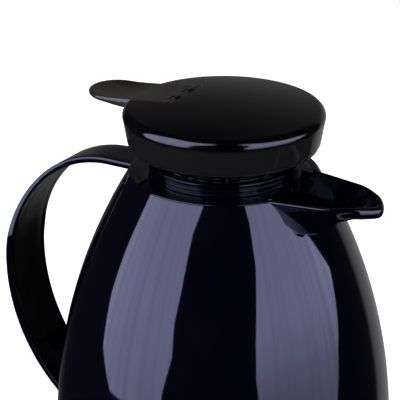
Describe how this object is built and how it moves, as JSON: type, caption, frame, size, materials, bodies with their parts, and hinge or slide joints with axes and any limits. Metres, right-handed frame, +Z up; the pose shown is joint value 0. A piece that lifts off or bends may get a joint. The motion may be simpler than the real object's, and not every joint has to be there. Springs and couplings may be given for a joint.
{
  "type": "thermal carafe with press-lever lid",
  "caption": "Egg-shaped vacuum jug with a beak spout, a broad strap handle and a screw-in domed lid whose thumb lever lifts a sprung pouring valve.",
  "frame": {"origin": "on the jug's axis, in the plane of the foot that it stands on", "axes": "+Z up along the jug's axis, +X towards the spout, the handle and the lever towards -X"},
  "size_m": [0.1828, 0.1464, 0.224],
  "materials": {
    "navy_shell": "high gloss, dyed through",
    "black_closure": "gloss, dyed through",
    "black_inner": "fine satin",
    "liner_glass": "silvered borosilicate glass",
    "silicone": "soft matte silicone",
    "dark_rubber": "matte rubber",
    "stainless": "bright drawn stainless wire and rod"
  },
  "bodies": {
    "jug": {"body_shell": "navy_shell", "spout_collar": "navy_shell", "neck_ring": "navy_shell", "handle_strap": "navy_shell", "handle_inlay": "black_closure", "handle_screws": "stainless", "glass_outer": "liner_glass", "glass_inner": "liner_glass", "spacer_pads": "silicone", "neck_seal": "silicone", "liner_cushion": "dark_rubber", "base_cup": "black_inner", "foot_pad": "dark_rubber"},
    "seal": {"closure_seal": "silicone"},
    "closure": {"stopper": "black_inner", "valve_seat": "black_inner", "stem_seal": "silicone", "cap": "black_closure", "lever_pin": "stainless", "return_spring": "stainless"},
    "lever": {"thumb_lever": "black_closure"},
    "valve": {"valve_rod": "stainless", "rod_head": "black_inner", "valve_plate": "black_inner", "valve_seal": "silicone"}
  },
  "joints": [
    {"name": "closure_lift", "type": "slide", "parent": "jug", "child": "seal", "axis": [0, 0, 1], "range_m": [0, 0.0601]},
    {"name": "closure_turn", "type": "hinge", "parent": "seal", "child": "closure", "pos_m": [0, 0, 0.17], "axis": [0, 0, 1], "range_deg": [0, 720]},
    {"name": "lever_press", "type": "hinge", "parent": "closure", "child": "lever", "pos_m": [-0.0208, 0, 0.221], "axis": [0, -1, 0], "range_deg": [0, 10], "stiffness_Nm_per_rad": 0.18, "springref_deg": -13.41},
    {"name": "valve_slide", "type": "slide", "parent": "closure", "child": "valve", "axis": [0, 0, 1], "range_m": [0, 0.0038], "deforming": ["return_spring"]}
  ],
  "couplings": [
    {"joint": "closure_lift", "follows": "closure_turn", "m_per_rad": 0.0047747},
    {"joint": "valve_slide", "follows": "lever_press", "m_per_rad": 0.0214}
  ]
}
